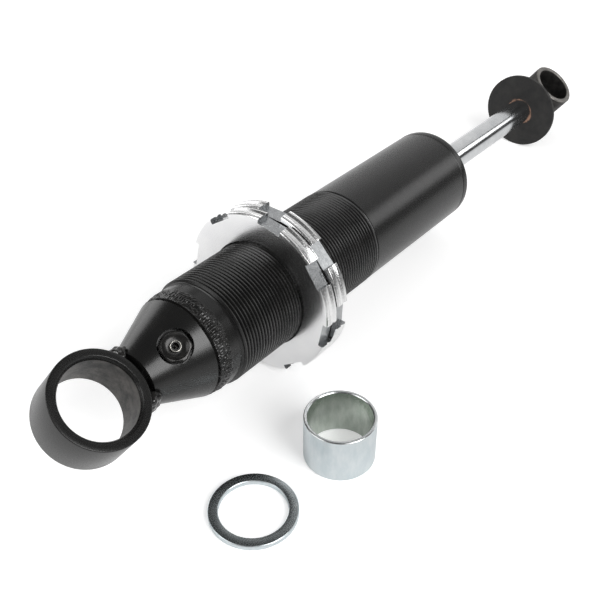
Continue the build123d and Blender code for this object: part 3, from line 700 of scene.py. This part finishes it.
def makeGasValve():
    low, high, inner, outer = measure("gas_valve_body", valveSpace)
    headTop = high - gasValve["noseRise"]
    headBottom = max(point.x for point in pointsOf("gas_valve_seal", valveSpace))
    flats = gasValve["acrossFlats"] / 2

    def hexagon(angle):
        flat = flats / math.cos((angle + math.tau / 12) % (math.tau / 6) - math.tau / 12)
        return min(flat, gasValve["cornerRadius"])

    mesh = bmesh.new()
    edge, nose = gasValve["noseEdge"], gasValve["noseRadius"]
    rimInner = nose - edge - gasValve["rimWidth"]
    turn = Matrix.Translation((high - (rimInner - inner) / 2, 0, 0)) @ Matrix.Rotation(math.pi / 2, 4, "Y")
    bmesh.ops.create_circle(mesh, cap_ends=False, radius=gasValve["boreRadius"],
                            segments=gasValve["segments"], matrix=turn)
    first = mesh.edges[:]
    foot, bowl = nose + gasValve["dishFoot"], math.radians(gasValve["dishBend"])
    curve = (gasValve["dishRadius"] - foot) / math.sin(bowl)
    dishFloor = headTop - curve * (1 - math.cos(bowl))
    bends = [bowl * step / gasValve["dishSteps"] for step in range(gasValve["dishSteps"] + 1)]
    bevel, shank = gasValve["topBevel"], outer * gasValve["shank"]
    last = growLoop(mesh, first, [
        (high, rimInner), (high, nose - edge), (high - edge / 3, nose - edge / 3), (high - edge, nose),
        *((dishFloor + curve * (1 - math.cos(bend)), foot + curve * math.sin(bend)) for bend in bends),
        (headTop, lambda angle: hexagon(angle) - bevel),
        (headTop - bevel / 4, lambda angle: hexagon(angle) - bevel + gasValve["topEdge"]),
        (headTop - bevel, hexagon), (headBottom, hexagon), (headBottom, shank), (low, shank),
        (low, gasValve["boreRadius"]),
    ])
    bmesh.ops.bridge_loops(mesh, edges=last + first)
    bmesh.ops.recalc_face_normals(mesh, faces=mesh.faces[:])
    markFaces(mesh, 1, lambda middle: middle.x > high - edge and rimInner < radiusOf(middle) < nose)
    addPiece("gasValveHead", mesh, valveSpace, [plain["blackOxideSteel"], plain["nickelPlatedBrass"]],
             "damper_body", ["gas_valve_body"], 28)


makeGasValve()

# Down the nose, the core's mouth is a funnel round the pin, whose tip is rounded
valveCore = {"mouth": 1.62 * mm, "funnel": 2.4 * mm, "clear": 0.1 * mm, "steps": 48}
valvePin = {"tip": 0.5 * mm, "steps": 32}


def makeValveCore():
    low, high, inner, outer = measure("gas_valve_core", valveSpace)
    foot = inner + valveCore["clear"]
    mesh = turnedMesh([
        (low, inner, 0), (low, outer, 0), (high, outer, 0), (high, valveCore["mouth"], 0),
        (high - valveCore["funnel"], foot, 0), (high - valveCore["funnel"], inner, 0),
    ], valveCore["steps"])
    # The funnel takes the brass painted dark as the shade in the bore
    addPiece("gasValveFunnel", mesh, valveSpace, [plain["brassPaintedAsBoreShade"]], "damper_body",
             ["gas_valve_core"])


def makeValvePin():
    low, high, inner, outer = measure("gas_valve_pin", valveSpace)
    tip = valvePin["tip"]
    mesh = turnedMesh([(low, 0, 0), (low, outer, 0), (high - 2 * tip, outer, tip), (high, 0, 0)],
                      valvePin["steps"])
    bmesh.ops.remove_doubles(mesh, verts=mesh.verts[:], dist=tiny)
    bmesh.ops.delete(mesh, geom=[edge for edge in mesh.edges if not edge.link_faces], context="EDGES")
    # The pin tip takes the same brass painted dark as shade
    addPiece("gasValvePinTip", mesh, valveSpace, [plain["brassPaintedAsBoreShade"]], "valve_pin",
             ["gas_valve_pin"])


makeValveCore()
makeValvePin()

# End cap: a flange as wide as the tube, with a rounded rim and a fine line where the tube ends
endCap = {"round": 1.6 * mm, "groove": 0.35 * mm, "steps": 128, "soft": 0.1 * mm}


def makeEndCap():
    low, high, inner, outer = measure("end_cap", damperSpace)
    tubeEnd = measure("body_tube", damperSpace)[1]
    wiper = measure("wiper_seal", damperSpace)
    spigot = measure("seal_head", damperSpace)[3]
    soft, groove = endCap["soft"], endCap["groove"]
    mesh = turnedMesh([
        (low, inner, soft), (low, spigot, soft), (tubeEnd, spigot, 0), (tubeEnd, outer - groove, 0),
        (tubeEnd + groove, outer, soft), (high, outer, endCap["round"]), (high, wiper[3], soft),
        (wiper[0], wiper[3], 0), (wiper[0], inner, 0),
    ], endCap["steps"])
    addPiece("endCapFlange", mesh, damperSpace, [plain["satinBlackCoat"]], "damper_body",
             ["end_cap"])


makeEndCap()

# Hard chrome on the ground rod: nearly a mirror, with faint grinding marks round it
coverNode("piston_rod", turnedMetal("hardChrome", damperSpace, {
    "colours": ("c6c8ca", "d8d9da"), "blotch": 12 * mm, "grain": 1.5 * mm, "roughness": (0.1, 0.15),
    "bump": 0.01, "metallic": 1.0, "rings": 0.8 * mm, "ringBump": 0.03, "spread": 0.7,
}))

# Stop washer: matte scaled steel with a ring of heat tint round the rod
stopWasher = {"rounding": 0.3 * mm, "steps": 128, "tintFrom": 8.0 * mm, "tintTo": 9.8 * mm,
              "copperWidth": 0.9 * mm, "copper": "b08a74", "straw": "4c403a", "strawAmount": 0.6,
              "ragged": 5 * mm, "raggedBy": (-0.9 * mm, 1.3 * mm)}
scaledSteel = {"colours": ("282828", "333231"), "blotch": 6 * mm, "grain": 0.4 * mm,
               "roughness": (0.45, 0.6), "bump": 0.2, "metallic": 0.4}


def heatTintedSteel():
    material = newMaterial("heatTintedSteel")
    where = turnedPlace(material, damperSpace)
    made = mottle(material, scaledSteel, where["place"])
    ragged = addNode(material, "ShaderNodeTexNoise", {"Scale": 1 / stopWasher["ragged"], "Detail": 4.0},
                     {"Vector": where["place"]})
    shift = addNode(material, "ShaderNodeMapRange",
                    {"From Min": 0.3, "From Max": 0.7, "To Min": stopWasher["raggedBy"][0],
                     "To Max": stopWasher["raggedBy"][1]}, {"Value": ragged.outputs["Fac"]})
    spot = addNode(material, "ShaderNodeMath", {"operation": "ADD"},
                   {0: where["radius"], 1: shift.outputs["Result"]})
    outerTint = addNode(material, "ShaderNodeMapRange",
                        {"From Min": stopWasher["tintTo"], "From Max": stopWasher["tintFrom"],
                         "To Max": stopWasher["strawAmount"]}, {"Value": spot.outputs["Value"]})
    innerTint = addNode(material, "ShaderNodeMapRange",
                        {"From Min": stopWasher["tintFrom"] + stopWasher["copperWidth"],
                         "From Max": stopWasher["tintFrom"]}, {"Value": spot.outputs["Value"]})
    warm = addNode(material, "ShaderNodeMixRGB", {"Color2": colour(stopWasher["straw"])},
                   {"Fac": outerTint.outputs["Result"], "Color1": made["tint"]})
    tint = addNode(material, "ShaderNodeMixRGB", {"Color2": colour(stopWasher["copper"])},
                   {"Fac": innerTint.outputs["Result"], "Color1": warm.outputs["Color"]})
    return finishMaterial(material, made, {"Metallic": scaledSteel["metallic"]},
                          {"Base Color": tint.outputs["Color"]})


def makeStopWasher():
    low, high, inner, outer = measure("stop_washer", damperSpace)
    soft = stopWasher["rounding"]
    mesh = turnedMesh([(low, inner, 0), (low, outer, soft), (high, outer, soft), (high, inner, 0)],
                      stopWasher["steps"], 0.1 * mm)
    addPiece("stopWasherDisc", mesh, damperSpace, [heatTintedSteel()], "rod",
             ["stop_washer"])


makeStopWasher()

# The neck between washer and upper eye is built up of weld metal
neckWeld = {"voxel": 0.35 * mm, "ripple": 3 * mm, "rippleHeight": 0.4 * mm, "lump": 4.5 * mm,
            "lumpHeight": 0.7 * mm, "rounds": 4, "swell": 0.1 * mm, "shrink": 1, "seam": (0, 0)}
makeWeld("upperEyeBead", "upper_eye_weld", "rod", plain["bareWeld"], neckWeld, alongEye)

# Upper eye: a cut length of steel tube, scaled outside, with paler faced ends
upperEye = {"rimBevel": 0.5 * mm, "boreBevel": 0.6 * mm, "step": 0.1 * mm, "rounding": 0.1 * mm, "steps": 128}


def makeUpperEye():
    low, high, inner, outer = measure("upper_eye", upperEyeSpace)
    mesh = turnedMesh(eyeProfile(low, high, inner, outer, upperEye), upperEye["steps"])
    endWidth = 0.7 * upperEye["rimBevel"]
    markFaces(mesh, 1, lambda middle: min(middle.x - low, high - middle.x) < endWidth)
    addPiece("upperEyeTube", mesh, upperEyeSpace, [plain["millScaleSteel"], plain["facedSteel"]], "rod",
             ["upper_eye"])


makeUpperEye()

# Loose sleeve and ring: clear-passivated zinc, pale and faintly blue, the ring's flat faces ground darker
zincFinish = {"colours": ("d0d9dc", "dce2e4"), "blotch": 3 * mm, "grain": 0.5 * mm, "roughness": (0.3, 0.42),
              "bump": 0.1, "metallic": 1.0, "rings": 0.7 * mm, "ringBump": 0.08, "stretch": 0.35}
looseSleeve = {"round": 0.6 * mm, "mouth": 0.45 * mm, "soft": 0.12 * mm, "steps": 160}
looseRing = {"bevel": 0.3 * mm, "rounding": 0.08 * mm, "steps": 160}


def makeSleeve():
    low, high, inner, outer = measure("loose_sleeve", sleeveSpace)
    mouth, soft, curve = looseSleeve["mouth"], looseSleeve["soft"], looseSleeve["round"]
    mesh = turnedMesh([
        (low, inner + mouth, soft), (low, outer, curve), (high, outer, curve), (high, inner + mouth, soft),
        (high - mouth, inner, soft), (low + mouth, inner, soft),
    ], looseSleeve["steps"])
    markFaces(mesh, 2, lambda middle: radiusOf(middle) < (inner + outer) / 2)
    markFaces(mesh, 1, lambda middle: min(middle.x - low, high - middle.x) < mouth)
    brightRim = dict(zincFinish, colours=("d6dadb", "e6e8e8"), roughness=(0.2, 0.28), ringBump=0.03)
    innerWall = dict(zincFinish, colours=("bcc5bc", "d3d9d2"), roughness=(0.2, 0.28))
    addPiece("zincSleeve", mesh, sleeveSpace,
             [turnedMetal("zincPlateOnSleeve", sleeveSpace, zincFinish),
              turnedMetal("brightZincRim", sleeveSpace, brightRim),
              turnedMetal("zincPlateInside", sleeveSpace, innerWall)],
             "loose_sleeve", ["loose_sleeve"])


def makeRing():
    low, high, inner, outer = measure("loose_ring", ringSpace)
    bevel, soft = looseRing["bevel"], looseRing["rounding"]
    mesh = turnedMesh([
        (low, inner + bevel, soft), (low, outer - bevel, soft), (low + bevel, outer, soft),
        (high - bevel, outer, soft), (high, outer - bevel, soft), (high, inner + bevel, soft),
        (high - bevel, inner, soft), (low + bevel, inner, soft),
    ], looseRing["steps"])
    markFaces(mesh, 1, lambda middle: min(middle.x - low, high - middle.x) < 0.1 * bevel)
    groundFace = dict(zincFinish, colours=("a4abad", "b9bfc0"), roughness=(0.24, 0.3), ringBump=0.1)
    addPiece("zincRing", mesh, ringSpace,
             [turnedMetal("zincPlateOnRing", ringSpace, zincFinish),
              turnedMetal("groundZincFace", ringSpace, groundFace)],
             "loose_ring", ["loose_ring"])


makeSleeve()
makeRing()

# Studio: a white table, bright walls behind, and soft lamps round it. In reflections the table darkens
# towards its edge, and far off, where no lamp reaches, it turns white. Lengths here are in metres
studio = {
    "floorReach": 4.0, "floorColour": "f0f0f0", "floorGlow": 0.36, "glowInGloss": 0.14, "worldLevel": 0.3,
    "worldForGloss": 0.09, "edgeAzimuth": -90, "edgeFrom": 0.03, "edgeTo": 0.45, "edgeLevel": 0.2,
    "whiteFrom": 0.9, "whiteTo": 2.2,
}
# A lamp's level is how bright it looks in a reflection, where 1 is white
lamps = {
    "keyLamp": {"azimuth": -101, "elevation": 37, "distance": 1.3, "width": 0.72, "height": 0.92,
                "level": 6.6},
    "farLamp": {"azimuth": -33, "elevation": 20, "distance": 1.6, "width": 0.7, "height": 0.5, "level": 2.2},
    "backWall": {"azimuth": 22, "elevation": 17, "distance": 1.7, "width": 2.3, "height": 1.15,
                 "level": 0.76},
    "upperWall": {"azimuth": 6, "elevation": 49, "distance": 1.7, "width": 1.6, "height": 0.7, "level": 0.6},
    "leftStrip": {"azimuth": 84, "elevation": 15, "distance": 1.3, "width": 0.9, "height": 0.7, "level": 1.9},
    "leftLamp": {"azimuth": 151, "elevation": 33, "distance": 1.4, "width": 0.9, "height": 0.8, "level": 2.6},
}
camera = {
    "place": Vector((-165.47, -237.41, 280.60)) * mm, "target": Vector((110.20, -25.34, 0)) * mm,
    "roll": -0.0038, "lens": 56.23, "sensor": 36.0, "nearest": 0.01,
}


def whiteSweep():
    material = newMaterial("whiteSweep")
    place = addNode(material, "ShaderNodeTexCoord").outputs["Object"]
    towards = math.radians(studio["edgeAzimuth"])
    reach = addNode(material, "ShaderNodeVectorMath",
                    {"operation": "DOT_PRODUCT", 1: (math.cos(towards), math.sin(towards), 0)}, {0: place})
    beyond = addNode(material, "ShaderNodeMapRange",
                     {"From Min": studio["edgeFrom"], "From Max": studio["edgeTo"]},
                     {"Value": reach.outputs["Value"]})
    paths = addNode(material, "ShaderNodeLightPath")
    glossGlow = addNode(material, "ShaderNodeMath", {"operation": "MULTIPLY", 1: studio["glowInGloss"]},
                        {0: paths.outputs["Is Glossy Ray"]})
    away = addNode(material, "ShaderNodeVectorMath", {"operation": "LENGTH"}, {0: place})
    farGlow = addNode(material, "ShaderNodeMapRange",
                      {"From Min": studio["whiteFrom"], "From Max": studio["whiteTo"],
                       "To Min": studio["floorGlow"], "To Max": 1}, {"Value": away.outputs["Value"]})
    glow = addNode(material, "ShaderNodeMath", {"operation": "MULTIPLY_ADD"},
                   {0: paths.outputs["Is Camera Ray"], 1: farGlow.outputs["Result"],
                    2: glossGlow.outputs["Value"]})
    shader = addNode(material, "ShaderNodeBsdfPrincipled",
                     {"Base Color": colour(studio["floorColour"]), "Roughness": 0.9,
                      "Specular IOR Level": 0.1, "Emission Color": (1, 1, 1, 1)},
                     {"Emission Strength": glow.outputs["Value"]})
    dim = addNode(material, "ShaderNodeEmission", {"Strength": studio["edgeLevel"]})
    ends = addNode(material, "ShaderNodeMath", {"operation": "MULTIPLY"},
                   {0: beyond.outputs["Result"], 1: paths.outputs["Is Glossy Ray"]})
    table = addNode(material, "ShaderNodeMixShader", {},
                    {0: ends.outputs["Value"], 1: shader.outputs["BSDF"], 2: dim.outputs["Emission"]})
    addNode(material, "ShaderNodeOutputMaterial", {}, {"Surface": table.outputs["Shader"]})
    return material


def makeFloor():
    mesh = bmesh.new()
    bmesh.ops.create_grid(mesh, x_segments=1, y_segments=1, size=studio["floorReach"],
                          matrix=Matrix.Translation((0, 0, cadBox[0].z)))
    floor = newObject("studioFloor", mesh)
    floor.data.materials.append(whiteSweep())


def makeWorld():
    world = bpy.data.worlds.new("studio")
    bpy.context.scene.world = world
    world.use_nodes = True
    world.node_tree.nodes.clear()
    paths = addNode(world, "ShaderNodeLightPath")
    plainGrey, glossGrey = ((*[studio[level]] * 3, 1) for level in ("worldLevel", "worldForGloss"))
    gloss = addNode(world, "ShaderNodeMixRGB", {"Color1": plainGrey, "Color2": glossGrey},
                    {"Fac": paths.outputs["Is Glossy Ray"]})
    shown = addNode(world, "ShaderNodeMixRGB", {"Color2": (1, 1, 1, 1)},
                    {"Fac": paths.outputs["Is Camera Ray"], "Color1": gloss.outputs["Color"]})
    background = addNode(world, "ShaderNodeBackground", {}, {"Color": shown.outputs["Color"]})
    addNode(world, "ShaderNodeOutputWorld", {}, {"Surface": background.outputs["Background"]})


def makeLamp(name, lamp):
    turn = math.radians(lamp["azimuth"])
    climb = math.radians(lamp["elevation"])
    outwards = Vector((math.cos(turn) * math.cos(climb), math.sin(turn) * math.cos(climb), math.sin(climb)))
    data = bpy.data.lights.new(name, "AREA")
    data.shape = "RECTANGLE"
    data.size = lamp["width"]
    data.size_y = lamp["height"]
    data.energy = lamp["level"] * math.pi * lamp["width"] * lamp["height"]
    made = bpy.data.objects.new(name, data)
    centre = (cadBox[0] + cadBox[1]) / 2
    made.matrix_world = (Matrix.Translation(centre + outwards * lamp["distance"])
                         @ outwards.to_track_quat("Z", "Y").to_matrix().to_4x4())
    made.visible_camera = False
    bpy.context.scene.collection.objects.link(made)


def makeCamera():
    data = bpy.data.cameras.new("photoCamera")
    data.sensor_width = camera["sensor"]
    data.lens = camera["lens"]
    data.clip_start = camera["nearest"]
    made = bpy.data.objects.new("photoCamera", data)
    forward = (camera["target"] - camera["place"]).normalized()
    right = forward.cross(upwards).normalized()
    up = right.cross(forward)
    turn = Matrix((right, up, -forward)).transposed().to_4x4()
    roll = Matrix.Rotation(camera["roll"], 4, "Z")
    made.matrix_world = Matrix.Translation(camera["place"]) @ turn @ roll
    bpy.context.scene.collection.objects.link(made)
    bpy.context.scene.camera = made


makeFloor()
makeWorld()
for lampName, lamp in lamps.items():
    makeLamp(lampName, lamp)
makeCamera()
bpy.context.scene.view_settings.view_transform = "Standard"
print("studio made")
